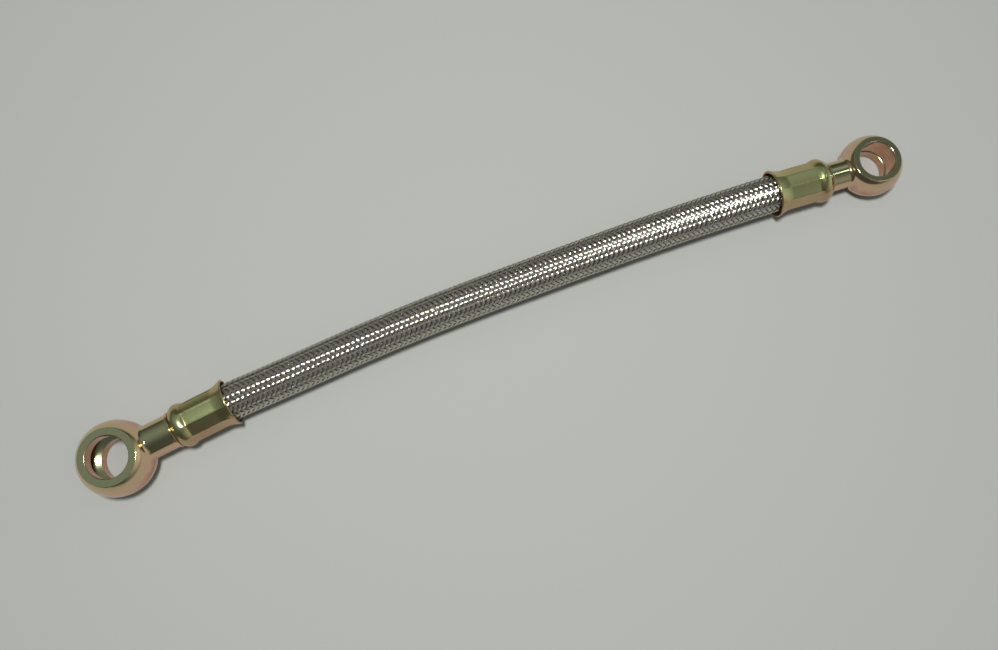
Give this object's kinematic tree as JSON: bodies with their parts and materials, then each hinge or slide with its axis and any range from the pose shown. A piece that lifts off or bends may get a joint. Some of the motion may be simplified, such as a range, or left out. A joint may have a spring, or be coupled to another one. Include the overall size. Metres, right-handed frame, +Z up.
{
  "type": "fuel line",
  "caption": "Short braided hose with a crimped ball banjo eye at each end, a larger one and a smaller one, that carries fuel between banjo bolts.",
  "frame": {"origin": "bottom centre of the box round the fittings and ferrules, on the surface that the line lies on", "axes": "+X from the large eye's bore to the small eye's bore, +Z up along the large eye's bore"},
  "size_m": [0.3006, 0.0262, 0.0172],
  "materials": {
    "yellow_zinc_steel": "glossy yellow zinc plate",
    "stainless_wire": "bright woven wire",
    "black_rubber": "matt"
  },
  "bodies": {
    "root": {"large_banjo_fitting": "yellow_zinc_steel", "large_end_ferrule": "yellow_zinc_steel", "small_banjo_fitting": "yellow_zinc_steel", "small_end_ferrule": "yellow_zinc_steel", "hose_wire_braid": "stainless_wire", "hose_rubber_liner": "black_rubber"}
  },
  "joints": []
}
